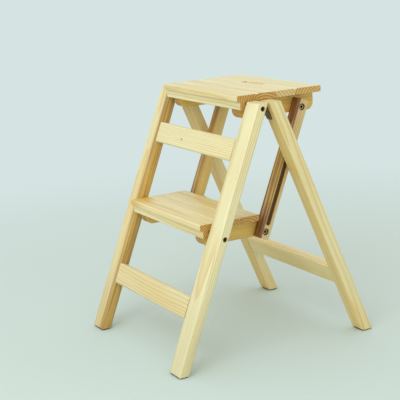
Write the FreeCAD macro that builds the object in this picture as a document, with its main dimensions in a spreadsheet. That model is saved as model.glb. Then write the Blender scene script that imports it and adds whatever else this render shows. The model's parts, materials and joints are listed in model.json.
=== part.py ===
import FreeCAD, Part
import math
import os
import re
import Sketcher

# A folding step stool chair in solid wood: two leaning front stiles with two rails, a slatted
# seat and a slatted step that turn on bolts through the stiles, two grooved links that keep
# seat and step parallel, and a rear leg frame on two butt hinges whose pins steer the links.
#
# The origin is on the floor in the middle of the feet. X runs to the right as seen from the
# front, Y from the front to the back, Z up. Lengths are in mm, angles in degrees.

SIZES = {
    # front frame
    "overall_width": 386.0,
    "stile_width": 43.5,
    "stile_depth": 21.5,
    "stile_round": 5.0,
    "front_lean": 22.3,
    "frame_below_seat": 12.0,
    "post_end_chamfer": 2.0,
    "rail_height": 43.0,
    "rail_depth": 20.0,
    "rail_round": 4.0,
    "lower_rail_up": 103.6,
    "upper_rail_from_top": 70.9,
    # rear frame
    "rear_lean": 22.0,
    "leg_width": 36.2,
    "leg_depth": 24.4,
    "leg_inset": 1.4,
    "leg_round": 5.0,
    "crossbar_up": 104.0,
    "crossbar_height": 41.0,
    "crossbar_depth": 18.0,
    "crossbar_setback": 2.0,
    # feet
    "pad_thickness": 2.5,
    "pad_inset": 3.0,
    "pad_round": 3.0,
    # seat and step
    "seat_height": 500.0,
    "step_height": 269.0,
    "slat_end_gap": 3.75,
    "slat_width": 43.0,
    "slat_gap": 0.6,
    "slat_thickness": 12.0,
    "slat_round": 2.5,
    "rear_slat_width": 58.0,
    "slot_length": 76.0,
    "slot_width": 16.0,
    "slot_from_seam": 3.8,
    "lip_setback": 6.0,
    "lip_thickness": 12.0,
    "lip_height": 16.0,
    "lip_round": 3.0,
    "cleat_width": 22.0,
    "cleat_height": 35.0,
    "cleat_setback": 12.0,
    "cleat_front_round": 15.0,
    "cleat_rear_round": 14.0,
    "cleat_from_rear_edge": 6.0,
    "cleat_past_link": 15.0,
    # pivots of seat, step and links
    "pivot_inset": 12.5,
    "pivot_drop": 10.3,
    "pivot_from_front": 25.8,
    "arm_back": 116.5,
    "arm_drop": 14.2,
    # links
    "link_side_gap": 1.2,
    "link_width": 21.3,
    "link_depth": 24.5,
    "link_past_pivot": 14.5,
    "link_round": 2.0,
    "link_end_chamfer": 2.5,
    "groove_width": 10.0,
    "groove_depth": 8.0,
    "groove_top": 97.5,
    "groove_bottom": 237.0,
    "guide_pin_radius": 4.5,
    "guide_pin_down": 129.3,
    "guide_pin_in_leg": 18.0,
    "guide_pin_short": 0.4,
    # hinges
    "hinge_drop": 5.0,
    "hinge_gap": 3.0,
    "hinge_width": 18.0,
    "hinge_inset": 3.0,
    "leaf_length": 34.0,
    "leaf_screw_edge": 6.0,
    "leaf_screw_rise": 11.0,
    "leaf_corner_round": 3.0,
    "screw_hole_radius": 1.62,
    "screw_countersink": 1.2,
    "leaf_thickness": 1.5,
    "barrel_radius": 2.7,
    "hinge_pin_radius": 1.5,
    "hinge_pin_head": 0.8,
    # fasteners
    "bolt_radius": 3.0,
    "bolt_head_radius": 4.7,
    "bolt_head_length": 5.0,
    "bolt_sink": 2.5,
    "bolt_past_nut": 1.5,
    "socket_radius": 2.9,
    "socket_depth": 2.6,
    "counterbore_radius": 5.0,
    "link_counterbore_radius": 6.8,
    "nut_height": 5.0,
    "nut_radius": 5.77,
    "washer_radius": 6.4,
    "washer_thickness": 1.2,
    "link_washer": 0.7,
    "spacer_radius": 6.5,
    # stub tenons of the rails and the crossbar
    "tenon_length": 18.0,
    "tenon_thickness": 10.0,
    "tenon_shoulder": 7.0,
    "mortise_end_gap": 0.5,
    # clearances
    "running_gap": 0.3,
    "pivot_clearance": 0.05,
    "fit_clearance": 0.02,
}

# Places that follow from the sizes, each a formula of sizes and of other places.
PLACES = {
    "stile_outer": "overall_width / 2",
    "stile_inner": "stile_outer - stile_width",
    "frame_top": "seat_height - frame_below_seat",
    "upper_rail_up": "(frame_top - pad_thickness) / cos(front_lean) - upper_rail_from_top - rail_height",
    "leg_outer": "stile_outer - leg_inset",
    "leg_inner": "leg_outer - leg_width",
    "seat_pivot_z": "seat_height - slat_thickness - pivot_drop",
    "step_pivot_z": "step_height - slat_thickness - pivot_drop",
    "seat_pivot_up": "(seat_pivot_z - pad_thickness + pivot_inset * sin(front_lean)) / cos(front_lean)",
    "step_pivot_up": "(step_pivot_z - pad_thickness + pivot_inset * sin(front_lean)) / cos(front_lean)",
    "link_span": "seat_pivot_up - step_pivot_up",
    "hinge_z": "frame_top - hinge_drop",
    "hinge_back": "stile_depth + hinge_gap",
    "hinge_up": "(hinge_z - pad_thickness + hinge_back * sin(front_lean)) / cos(front_lean)",
    "hinge_on_leg": "(hinge_z - pad_thickness + hinge_gap * sin(rear_lean)) / cos(rear_lean)",
    "front_reach": "hinge_up * sin(front_lean) + hinge_back * cos(front_lean)",
    "leg_reach": "(hinge_gap + (hinge_z - pad_thickness) * sin(rear_lean)) / cos(rear_lean)",
    "footprint": "front_reach + leg_reach + leg_depth / cos(rear_lean)",
    "stile_foot_y": "-footprint / 2",
    "leg_foot_y": "footprint / 2 - leg_depth / cos(rear_lean)",
    "seat_pivot_y": "stile_foot_y + seat_pivot_up * sin(front_lean) + pivot_inset * cos(front_lean)",
    "step_pivot_y": "stile_foot_y + step_pivot_up * sin(front_lean) + pivot_inset * cos(front_lean)",
    "slat_length": "2 * (stile_inner - slat_end_gap)",
    "link_outer": "stile_inner - link_side_gap",
    "link_inner": "link_outer - link_width",
    "cleat_outer": "link_inner - link_washer - running_gap",
    "cleat_inner": "cleat_outer - cleat_width",
    "slat_pitch": "slat_width + slat_gap",
    "seat_depth": "3 * slat_pitch + rear_slat_width",
    "nut_end": "cleat_inner - running_gap - washer_thickness - nut_height - bolt_past_nut",
    "pivot_bolt_length": "stile_outer - bolt_sink - nut_end",
    "link_bolt_length": "link_outer - bolt_sink - nut_end",
    "hinge_inner": "leg_inner + hinge_inset",
    "hinge_middle": "hinge_inner + hinge_width / 2",
    "knuckle": "hinge_width / 3",
}

ALONG_X = FreeCAD.Vector(1, 0, 0)
ALONG_Y = FreeCAD.Vector(0, 1, 0)
ALONG_Z = FreeCAD.Vector(0, 0, 1)
SIDES = {"right": 1, "left": -1}

doc = FreeCAD.newDocument("folding_step_stool")
sheet = doc.addObject("Spreadsheet::Sheet", "Sizes")
nodes = []


# Sizes and formulas

def fill_sheet():
    for row, (name, size) in enumerate(SIZES.items(), start=1):
        sheet.set(f"A{row}", str(size))
        sheet.setAlias(f"A{row}", name)
    doc.recompute()


def formula(text):
    """The formula with each size's name pointing at its cell and each place written out."""
    def written(found):
        word = found.group()
        if word in PLACES:
            return "(" + formula(PLACES[word]) + ")"
        return "Sizes." + word if word in SIZES else word
    return re.sub(r"[a-z_]+", written, text)


def number(text):
    return float(sheet.evalExpression(formula(text)))


def bind(item, name, text):
    item.setExpression(name, formula(text))


# Building blocks

def new_body(name):
    body = doc.addObject("PartDesign::Body", name)
    body.Label = name
    return body


def sketch_on(body, role, at="0"):
    """A sketch on one of the body's origin planes, moved along the plane's normal."""
    plane = next(item for item in body.Origin.OriginFeatures if item.Role == role)
    sketch = body.newObject("Sketcher::SketchObject", body.Name + "_sketch")
    sketch.AttachmentSupport = [(plane, "")]
    sketch.MapMode = "FlatFace"
    bind(sketch, "AttachmentOffset.Base.z", at)
    return sketch


def hold(sketch, piece, point, x, y):
    for kind, text in (("DistanceX", x), ("DistanceY", y)):
        index = sketch.addConstraint(Sketcher.Constraint(kind, -1, 1, piece, point, number(text)))
        bind(sketch, f"Constraints[{index}]", text)


def draw_corners(sketch, corners):
    points = [FreeCAD.Vector(number(x), number(y), 0) for x, y in corners]
    ends = points[1:] + points[:1]
    lines = [sketch.addGeometry(Part.LineSegment(start, end), False) for start, end in zip(points, ends)]
    for index, (x, y) in enumerate(corners):
        sketch.addConstraint(Sketcher.Constraint("Coincident", lines[index - 1], 2, lines[index], 1))
        hold(sketch, lines[index], 1, x, y)


def draw_rectangle(sketch, left, right, low, high):
    draw_corners(sketch, [(left, low), (right, low), (right, high), (left, high)])


def draw_circle(sketch, x, y, radius):
    centre = FreeCAD.Vector(number(x), number(y), 0)
    piece = sketch.addGeometry(Part.Circle(centre, ALONG_Z, number(radius)), False)
    hold(sketch, piece, 3, x, y)
    index = sketch.addConstraint(Sketcher.Constraint("Radius", piece, number(radius)))
    bind(sketch, f"Constraints[{index}]", radius)


def draw_hexagon(sketch, x, y, radius):
    draw_corners(sketch, [
        (f"{x} + {radius} * cos({60 * turn})", f"{y} + {radius} * sin({60 * turn})")
        for turn in range(6)
    ])


def draw_slot(sketch, start, end, radius):
    """A round-ended slot between two points, which lie level with or above one another."""
    first, last = [FreeCAD.Vector(number(x), number(y), 0) for x, y in (start, end)]
    turn = math.atan2(last.y - first.y, last.x - first.x)
    side = FreeCAD.Vector(-math.sin(turn), math.cos(turn), 0) * number(radius)
    half = math.pi / 2
    arcs = [
        sketch.addGeometry(
            Part.ArcOfCircle(Part.Circle(centre, ALONG_Z, number(radius)), turn + begin, turn + begin + math.pi),
            False)
        for centre, begin in ((first, half), (last, -half))
    ]
    sides = [
        sketch.addGeometry(Part.LineSegment(first - side, last - side), False),
        sketch.addGeometry(Part.LineSegment(last + side, first + side), False),
    ]
    sketch.addConstraint(Sketcher.Constraint("Tangent", arcs[0], 2, sides[0], 1))
    sketch.addConstraint(Sketcher.Constraint("Tangent", sides[0], 2, arcs[1], 1))
    sketch.addConstraint(Sketcher.Constraint("Tangent", arcs[1], 2, sides[1], 1))
    sketch.addConstraint(Sketcher.Constraint("Coincident", sides[1], 2, arcs[0], 1))
    hold(sketch, arcs[0], 3, *start)
    hold(sketch, arcs[1], 3, *end)
    index = sketch.addConstraint(Sketcher.Constraint("Radius", arcs[0], number(radius)))
    bind(sketch, f"Constraints[{index}]", radius)


def pad(body, sketch, length, back=False, middle=False):
    feature = body.newObject("PartDesign::Pad", body.Name + "_pad")
    feature.Profile = sketch
    bind(feature, "Length", length)
    feature.Reversed = back
    feature.Midplane = middle
    doc.recompute()
    return feature


def pocket(body, sketch, depth, forward=False, middle=False):
    """A cut against the sketch's normal, or along it when forward."""
    before = body.Shape.Volume
    feature = body.newObject("PartDesign::Pocket", body.Name + "_pocket")
    feature.Profile = sketch
    bind(feature, "Length", depth)
    feature.Reversed = forward
    feature.Midplane = middle
    doc.recompute()
    if feature.Shape.Volume > before - 1e-6:
        raise RuntimeError(f"a pocket in {body.Label} cuts nothing")
    return feature


def straight_edges(body, axis, where=lambda middle: True):
    names = []
    for index, edge in enumerate(body.Tip.Shape.Edges, start=1):
        if isinstance(edge.Curve, Part.Line) and edge.Curve.Direction.cross(axis).Length < 1e-6:
            if where(edge.CenterOfMass):
                names.append(f"Edge{index}")
    return names


def dress_edges(body, kind, names, size_name, size):
    before = body.Tip
    feature = body.newObject(kind, body.Name + "_edges")
    feature.Base = (before, names)
    bind(feature, size_name, size)
    doc.recompute()


def round_edges(body, names, radius):
    dress_edges(body, "PartDesign::Fillet", names, "Radius", radius)


def bores(body, role, at, centres, radius, depth, forward):
    sketch = sketch_on(body, role, at)
    for x, y in centres:
        draw_circle(sketch, x, y, radius)
    return pocket(body, sketch, depth, forward)


def side_bores(body, side, face, centres, radius, depth, from_outer):
    """Bores along X from a face at the given distance from the middle of the stool."""
    forward = (side < 0) == from_outer
    return bores(body, "YZ_Plane", f"{side} * {face}", centres, radius, depth, forward)


def turned(name, profile):
    """A body of revolution about X, its profile in distances along X and radii."""
    body = new_body(name)
    sketch = sketch_on(body, "XY_Plane")
    draw_corners(sketch, profile)
    feature = body.newObject("PartDesign::Revolution", name + "_turned")
    feature.Profile = sketch
    feature.ReferenceAxis = (sketch, ["H_Axis"])
    feature.Angle = 360
    doc.recompute()
    return body


def turned_ring(name, length, inner, outer):
    return turned(name, [("0", inner), (length, inner), (length, outer), ("0", outer)])


def on_frame(lean, foot_y, back, up):
    """The point of a leaning frame that lies so far back from its front face and up from its foot."""
    turn = math.radians(number(lean))
    y = number(foot_y) + number(up) * math.sin(turn) + number(back) * math.cos(turn)
    z = number("pad_thickness") + number(up) * math.cos(turn) - number(back) * math.sin(turn)
    return y, z


def place(item, y, z, lean="0"):
    item.Placement = FreeCAD.Placement(
        FreeCAD.Vector(0, y, z), FreeCAD.Rotation(ALONG_X, -number(lean)))
    nodes.append(item)


def place_on_front(item):
    place(item, number("stile_foot_y"), number("pad_thickness"), "front_lean")


def place_on_rear(item):
    place(item, number("leg_foot_y"), number("pad_thickness"), "-rear_lean")


def copies(name, master, spots):
    """One node that holds a copy of the master at each spot: a point and where its X axis looks."""
    shapes = []
    for point, heading in spots:
        shape = master.Shape.copy()
        shape.Placement = FreeCAD.Placement(point, FreeCAD.Rotation(ALONG_X, heading))
        shapes.append(shape)
    node = doc.addObject("Part::Feature", name)
    node.Label = name
    node.Shape = Part.makeCompound(shapes)
    node.Placement = FreeCAD.Placement()
    nodes.append(node)


# Front frame

def post_outline(lean, depth):
    """The side outline of a leaning post, level at its foot and top, in the post's own frame."""
    rise = "frame_top - pad_thickness"
    return [
        ("0", "0"),
        (depth, f"{depth} * tan({lean})"),
        (depth, f"({rise} + {depth} * sin({lean})) / cos({lean})"),
        ("0", f"({rise}) / cos({lean})"),
    ]


def post(name, side, lean, depth, inner, width, rounding):
    body = new_body(name)
    sketch = sketch_on(body, "YZ_Plane", f"{side} * {inner}")
    draw_corners(sketch, post_outline(lean, depth))
    pad(body, sketch, width, back=side < 0)
    dress_edges(body, "PartDesign::Chamfer", straight_edges(body, ALONG_X), "Size", "post_end_chamfer")
    round_edges(body, straight_edges(body, ALONG_Z), rounding)
    return body


# Where the rails and the crossbar lie in their posts: back and depth, low edge and height.
LOWER_RAIL = ("0", "rail_depth", "lower_rail_up", "rail_height")
UPPER_RAIL = ("0", "rail_depth", "upper_rail_up", "rail_height")
CROSSBAR = ("crossbar_setback", "crossbar_depth", "crossbar_up", "crossbar_height")


def tenon_outline(back, depth, low, height, fit="0"):
    """The outline of a bar's tenon, with its shoulders all round, or of the mortise that it fits."""
    middle = f"{back} + {depth} / 2"
    half = f"(tenon_thickness / 2 + {fit})"
    return (f"{middle} - {half}", f"{middle} + {half}",
            f"{low} + tenon_shoulder - {fit}", f"{low} + {height} - tenon_shoulder + {fit}")


def mortises(body, side, face, bars):
    """Blind mortises in a post's inner face."""
    sketch = sketch_on(body, "YZ_Plane", f"{side} * {face}")
    for lie in bars:
        draw_rectangle(sketch, *tenon_outline(*lie, "fit_clearance"))
    pocket(body, sketch, "tenon_length + mortise_end_gap", forward=side > 0)


def stile(name, side):
    body = post(name, side, "front_lean", "stile_depth", "stile_inner", "stile_width", "stile_round")
    pivots = [("pivot_inset", "seat_pivot_up"), ("pivot_inset", "step_pivot_up")]
    side_bores(body, side, "stile_inner", pivots, "bolt_radius + fit_clearance", "stile_width", False)
    sink = "bolt_sink + bolt_head_length"
    side_bores(body, side, "stile_outer", pivots, "counterbore_radius", sink, True)
    mortises(body, side, "stile_inner", [LOWER_RAIL, UPPER_RAIL])
    place_on_front(body)


def bar(name, half_length, lie):
    """A rail or crossbar between two posts, with a stub tenon at each end."""
    body = new_body(name)
    back, depth, low, height = lie
    sketch = sketch_on(body, "YZ_Plane")
    draw_rectangle(sketch, back, f"{back} + {depth}", low, f"{low} + {height}")
    pad(body, sketch, f"2 * {half_length}", middle=True)
    round_edges(body, straight_edges(body, ALONG_X), "rail_round")
    sketch = sketch_on(body, "YZ_Plane")
    draw_rectangle(sketch, *tenon_outline(*lie))
    pad(body, sketch, f"2 * ({half_length} + tenon_length)", middle=True)
    return body


def rails():
    place_on_front(bar("front_rail_lower", "stile_inner", LOWER_RAIL))
    place_on_front(bar("front_rail_upper", "stile_inner", UPPER_RAIL))


def foot_pads(name, inner, width, foot_y, depth, lean):
    """Rubber pads under a pair of posts, inset from the foot's edges."""
    master = new_body(name + "_master")
    sketch = sketch_on(master, "XY_Plane")
    half_width = f"({width} / 2 - pad_inset)"
    half_depth = f"({depth} / cos({lean}) / 2 - pad_inset)"
    draw_rectangle(sketch, f"-{half_width}", half_width, f"-{half_depth}", half_depth)
    pad(master, sketch, "pad_thickness")
    round_edges(master, straight_edges(master, ALONG_Z), "pad_round")
    middle_y = number(f"{foot_y} + {depth} / cos({lean}) / 2")
    spots = [
        (FreeCAD.Vector(side * number(f"{inner} + {width} / 2"), middle_y, 0), ALONG_X)
        for side in SIDES.values()
    ]
    copies(name, master, spots)


# Hinges

def leaf_holes(side, up):
    """Two screw holes down the middle of a leaf, both lower than the seat's bolt."""
    lower = f"{up} - leaf_length + leaf_screw_edge"
    return [(f"{side} * hinge_middle", height) for height in (lower, f"{lower} + leaf_screw_rise")]


def hinge_leaf(name, side, face, outward, up, stations, pin_gap):
    """A leaf flat on a post's face with its share of the knuckles rolled around the pin."""
    body = new_body(name)
    inner = f"{side} * hinge_inner"
    sketch = sketch_on(body, "YZ_Plane", inner)
    outer_face = f"{face} + {outward} * leaf_thickness"
    draw_rectangle(sketch, face, outer_face, f"{up} - leaf_length", up)
    pad(body, sketch, "hinge_width", back=side < 0)
    axis = f"{face} + {outward} * hinge_gap"
    sketch = sketch_on(body, "YZ_Plane", inner)
    draw_circle(sketch, axis, up, "barrel_radius")
    pad(body, sketch, "hinge_width", back=side < 0)
    for start, length in stations:
        sketch = sketch_on(body, "YZ_Plane", f"{side} * (hinge_inner + {start})")
        draw_circle(sketch, axis, up, "barrel_radius + running_gap")
        pocket(body, sketch, length, forward=side > 0)
    side_bores(body, side, "hinge_inner", [(axis, up)], f"hinge_pin_radius + {pin_gap}",
               "hinge_width", False)
    corners = straight_edges(body, ALONG_Y, lambda middle: middle.z < number(f"{up} - leaf_length + 1"))
    round_edges(body, corners, "leaf_corner_round")
    holes = leaf_holes(side, up)
    bores(body, "XZ_Plane", f"-({outer_face})", holes, "screw_hole_radius", "leaf_thickness", outward > 0)
    countersink(body, holes, number(outer_face))
    return body


def countersink(body, holes, face_y):
    """The cones that the screw heads sit in, on the side of the leaf that shows."""
    radius = number("screw_hole_radius")
    names = []
    for index, edge in enumerate(body.Tip.Shape.Edges, start=1):
        round_edge = isinstance(edge.Curve, Part.Circle)
        if round_edge and abs(edge.Curve.Center.y - face_y) < 1e-6 and abs(edge.Curve.Radius - radius) < 1e-6:
            names.append(f"Edge{index}")
    if len(names) != len(holes):
        raise RuntimeError(f"{body.Label} has {len(names)} screw holes to countersink")
    dress_edges(body, "PartDesign::Chamfer", names, "Size", "screw_countersink")


def hinges():
    middle = [("knuckle - running_gap / 2", "knuckle + running_gap")]
    outer = [("-1", "knuckle + 1 + running_gap / 2"),
             ("2 * knuckle - running_gap / 2", "knuckle + 1 + running_gap / 2")]
    for word, side in SIDES.items():
        leaf = hinge_leaf(f"hinge_leaf_front_{word}", side, "stile_depth", 1, "hinge_up", middle,
                          "fit_clearance")
        place_on_front(leaf)
        leaf = hinge_leaf(f"hinge_leaf_rear_{word}", side, "0", -1, "hinge_on_leg", outer,
                          "pivot_clearance")
        place_on_rear(leaf)


def hinge_pins():
    head = "hinge_pin_radius + hinge_pin_head"
    length = "hinge_width + hinge_pin_head"
    master = turned("hinge_pin_master", [
        ("-hinge_pin_head", "0"), ("-hinge_pin_head", "hinge_pin_radius"), ("0", head),
        ("0", "hinge_pin_radius"), ("hinge_width", "hinge_pin_radius"), ("hinge_width", head),
        (length, "hinge_pin_radius"), (length, "0"),
    ])
    y, z = on_frame("front_lean", "stile_foot_y", "hinge_back", "hinge_up")
    spots = [
        (FreeCAD.Vector(side * number("hinge_inner"), y, z), ALONG_X * side) for side in SIDES.values()
    ]
    copies("hinge_pins", master, spots)


# Rear frame

def rear_leg(name, side):
    body = post(name, side, "-rear_lean", "leg_depth", "leg_inner", "leg_width", "leg_round")
    mortises(body, side, "leg_inner", [CROSSBAR])
    pin = [("leg_depth / 2", "hinge_on_leg - guide_pin_down")]
    side_bores(body, side, "leg_inner", pin, "guide_pin_radius + fit_clearance", "guide_pin_in_leg", False)
    place_on_rear(body)


def crossbar():
    place_on_rear(bar("rear_crossbar", "leg_inner", CROSSBAR))


def guide_pins():
    """Hardwood pins in the rear legs that run in the links' grooves, cut short of the link's face."""
    reach = "leg_inner - link_outer - guide_pin_short"
    master = turned("guide_pin_master", [
        ("-guide_pin_in_leg", "0"), ("-guide_pin_in_leg", "guide_pin_radius"),
        (f"{reach} - 1", "guide_pin_radius"), (reach, "guide_pin_radius - 1"), (reach, "0"),
    ])
    y, z = on_frame("-rear_lean", "leg_foot_y", "leg_depth / 2", "hinge_on_leg - guide_pin_down")
    spots = [
        (FreeCAD.Vector(side * number("leg_inner"), y, z), ALONG_X * -side) for side in SIDES.values()
    ]
    copies("guide_pins", master, spots)


# Seat and step, both measured from their own pivot

def slat(name, index, width, deck_y, deck_z, slot):
    body = new_body(name)
    front = f"-pivot_from_front + {index} * slat_pitch"
    sketch = sketch_on(body, "YZ_Plane")
    draw_rectangle(sketch, front, f"{front} + {width}", "pivot_drop", "pivot_drop + slat_thickness")
    pad(body, sketch, "slat_length", middle=True)
    round_edges(body, straight_edges(body, ALONG_X), "slat_round")
    if slot:
        sketch = sketch_on(body, "XY_Plane", "pivot_drop + slat_thickness")
        half = "(slot_length / 2 - slot_width / 2)"
        middle = "-pivot_from_front + 3 * slat_pitch - slot_from_seam"
        draw_slot(sketch, (f"-{half}", middle), (half, middle), "slot_width / 2")
        pocket(body, sketch, "slat_thickness")
    place(body, deck_y, deck_z)


def lip(name, deck_y, deck_z):
    """The strip under the front slat that stiffens it, let into the front ends of the cleats."""
    body = new_body(name)
    front = "-pivot_from_front + lip_setback"
    sketch = sketch_on(body, "YZ_Plane")
    draw_rectangle(sketch, front, f"{front} + lip_thickness", "pivot_drop - lip_height", "pivot_drop")
    pad(body, sketch, "slat_length", middle=True)
    low_edges = straight_edges(body, ALONG_X, lambda middle: middle.z < number("pivot_drop - 1"))
    round_edges(body, low_edges, "lip_round")
    place(body, deck_y, deck_z)


def cleat(name, side, rear_end, deck_y, deck_z):
    """The bearer under the slats, with the pivot bore in front and the link's bore behind."""
    body = new_body(name)
    front = "-pivot_from_front + cleat_setback"
    lip_back = "-pivot_from_front + lip_setback + lip_thickness"
    low = "pivot_drop - cleat_height"
    lip_low = "pivot_drop - lip_height"
    sketch = sketch_on(body, "YZ_Plane", f"{side} * cleat_inner")
    draw_corners(sketch, [
        (front, low), (rear_end, low), (rear_end, "pivot_drop"), (lip_back, "pivot_drop"),
        (lip_back, lip_low), (front, lip_low),
    ])
    pad(body, sketch, "cleat_width", back=side < 0)
    for y, radius in ((front, "cleat_front_round"), (rear_end, "cleat_rear_round")):
        corner = straight_edges(body, ALONG_X, lambda middle: (
            abs(middle.y - number(y)) < 1e-6 and abs(middle.z - number(low)) < 1e-6))
        round_edges(body, corner, radius)
    pivots = [("0", "0"), ("arm_back", "-arm_drop")]
    side_bores(body, side, "cleat_inner", pivots, "bolt_radius + pivot_clearance", "cleat_width", False)
    place(body, deck_y, deck_z)


def deck(name, slats, rear_end, deck_y, deck_z):
    """A seat or step: its slats, its lip and its two cleats."""
    for index, (word, width, slot) in enumerate(slats):
        slat(f"{name}_slat_{word}", index, width, deck_y, deck_z, slot)
    lip(f"{name}_lip", deck_y, deck_z)
    for word, side in SIDES.items():
        cleat(f"{name}_cleat_{word}", side, rear_end, deck_y, deck_z)


def decks():
    seat_y, seat_z = number("seat_pivot_y"), number("seat_pivot_z")
    seat_slats = [("front", "slat_width", False), ("second", "slat_width", False),
                  ("third", "slat_width", True), ("rear", "rear_slat_width", True)]
    deck("seat", seat_slats, "seat_depth - pivot_from_front - cleat_from_rear_edge", seat_y, seat_z)
    step_y, step_z = number("step_pivot_y"), number("step_pivot_z")
    step_slats = [("front", "slat_width", False), ("middle", "slat_width", False),
                  ("rear", "slat_width", False)]
    deck("step", step_slats, "arm_back + cleat_past_link", step_y, step_z)


# Links

def link(name, side):
    """A link, measured from its upper pivot, with the blind groove that the guide pin runs in."""
    body = new_body(name)
    sketch = sketch_on(body, "YZ_Plane", f"{side} * link_inner")
    half = "link_depth / 2"
    draw_rectangle(sketch, f"-({half})", half, "-link_span - link_past_pivot", "link_past_pivot")
    pad(body, sketch, "link_width", back=side < 0)
    dress_edges(body, "PartDesign::Chamfer", straight_edges(body, ALONG_X), "Size", "link_end_chamfer")
    round_edges(body, straight_edges(body, ALONG_Z), "link_round")
    pivots = [("0", "0"), ("0", "-link_span")]
    side_bores(body, side, "link_inner", pivots, "bolt_radius + fit_clearance", "link_width", False)
    sink = "bolt_sink + bolt_head_length + washer_thickness"
    side_bores(body, side, "link_outer", pivots, "link_counterbore_radius", sink, True)
    sketch = sketch_on(body, "YZ_Plane", f"{side} * link_outer")
    half_width = "groove_width / 2"
    draw_slot(sketch, ("0", f"-groove_bottom + {half_width}"), ("0", f"-groove_top - {half_width}"),
              half_width)
    pocket(body, sketch, "groove_depth", forward=side < 0)
    place(body, number("seat_pivot_y + arm_back"), number("seat_pivot_z - arm_drop"), "front_lean")


# Bolts, nuts, washers and spacers

def bolt_master(name, length):
    """A socket-head bolt that lies along X, the top of its head at the origin."""
    body = turned(name, [
        ("0", "0"), ("0", "bolt_head_radius"), ("-bolt_head_length", "bolt_head_radius"),
        ("-bolt_head_length", "bolt_radius"), (f"-{length}", "bolt_radius"), (f"-{length}", "0"),
    ])
    sketch = sketch_on(body, "YZ_Plane")
    draw_hexagon(sketch, "0", "0", "socket_radius")
    pocket(body, sketch, "socket_depth")
    return body


def nut_master():
    body = new_body("nut_master")
    sketch = sketch_on(body, "YZ_Plane")
    draw_hexagon(sketch, "0", "0", "nut_radius")
    pad(body, sketch, "nut_height")
    bores(body, "YZ_Plane", "0", [("0", "0")], "bolt_radius + fit_clearance", "nut_height", True)
    return body


def pivot_spots(sides, x, centres, outward=1):
    return [
        (FreeCAD.Vector(side * number(x), y, z), ALONG_X * side * outward)
        for side in sides for y, z in centres
    ]


def fasteners():
    seat_pivot = (number("seat_pivot_y"), number("seat_pivot_z"))
    step_pivot = (number("step_pivot_y"), number("step_pivot_z"))
    back, drop = number("arm_back"), number("arm_drop")
    link_pivots = [(y + back, z - drop) for y, z in (seat_pivot, step_pivot)]
    both = list(SIDES.values())
    bore = "bolt_radius + fit_clearance"
    nut = nut_master()
    washer = turned_ring("washer_master", "washer_thickness", bore, "washer_radius")
    washer_x = "cleat_inner - running_gap - washer_thickness"
    nut_x = "cleat_inner - running_gap - washer_thickness - nut_height"

    long_bolt = bolt_master("pivot_bolt_master", "pivot_bolt_length")
    spacer = turned_ring("spacer_master", "stile_inner - cleat_outer - running_gap", bore, "spacer_radius")
    for name, pivot in (("seat", seat_pivot), ("step", step_pivot)):
        copies(f"{name}_pivot_bolts", long_bolt, pivot_spots(both, "stile_outer - bolt_sink", [pivot]))
        copies(f"{name}_pivot_spacers", spacer, pivot_spots(both, "cleat_outer + running_gap", [pivot]))
        copies(f"{name}_pivot_washers", washer, pivot_spots(both, washer_x, [pivot]))
        copies(f"{name}_pivot_nuts", nut, pivot_spots(both, nut_x, [pivot]))

    short_bolt = bolt_master("link_bolt_master", "link_bolt_length")
    thrust = turned_ring("thrust_washer_master", "link_washer", bore, "washer_radius")
    head_washer_x = "link_outer - bolt_sink - bolt_head_length - washer_thickness"
    for word, side in SIDES.items():
        copies(f"link_bolts_{word}", short_bolt, pivot_spots([side], "link_outer - bolt_sink", link_pivots))
        copies(f"link_head_washers_{word}", washer, pivot_spots([side], head_washer_x, link_pivots))
        copies(f"link_thrust_washers_{word}", thrust,
               pivot_spots([side], "cleat_outer + running_gap", link_pivots))
        copies(f"link_nut_washers_{word}", washer, pivot_spots([side], washer_x, link_pivots))
        copies(f"link_nuts_{word}", nut, pivot_spots([side], nut_x, link_pivots))


# The whole stool

def check_document():
    for item in doc.Objects:
        if "Invalid" in item.State or "Error" in item.State:
            raise RuntimeError(f"{item.Name} failed: {item.State}")
    for node in nodes:
        if node.Shape.isNull() or not node.Shape.isValid():
            raise RuntimeError(f"{node.Label} has no valid shape")


def write_nodes():
    os.makedirs("parts", exist_ok=True)
    for node in nodes:
        node.Shape.exportStep(f"parts/{node.Label}.step")


def build():
    fill_sheet()
    for word, side in SIDES.items():
        stile(f"front_stile_{word}", side)
        rear_leg(f"rear_leg_{word}", side)
        link(f"link_{word}", side)
    rails()
    crossbar()
    foot_pads("front_foot_pads", "stile_inner", "stile_width", "stile_foot_y", "stile_depth", "front_lean")
    foot_pads("rear_foot_pads", "leg_inner", "leg_width", "leg_foot_y", "leg_depth", "rear_lean")
    hinges()
    hinge_pins()
    guide_pins()
    decks()
    fasteners()
    doc.recompute()
    check_document()
    write_nodes()
    return nodes


build()
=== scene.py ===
"""Looks of the folding step stool chair: lacquered pine, dark bolts, bronze hinges and rubber feet."""

import json
import math
from collections import namedtuple

import bmesh
import bpy
from bpy.props import FloatProperty, FloatVectorProperty, PointerProperty
from mathutils import Euler, Matrix, Vector


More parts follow.
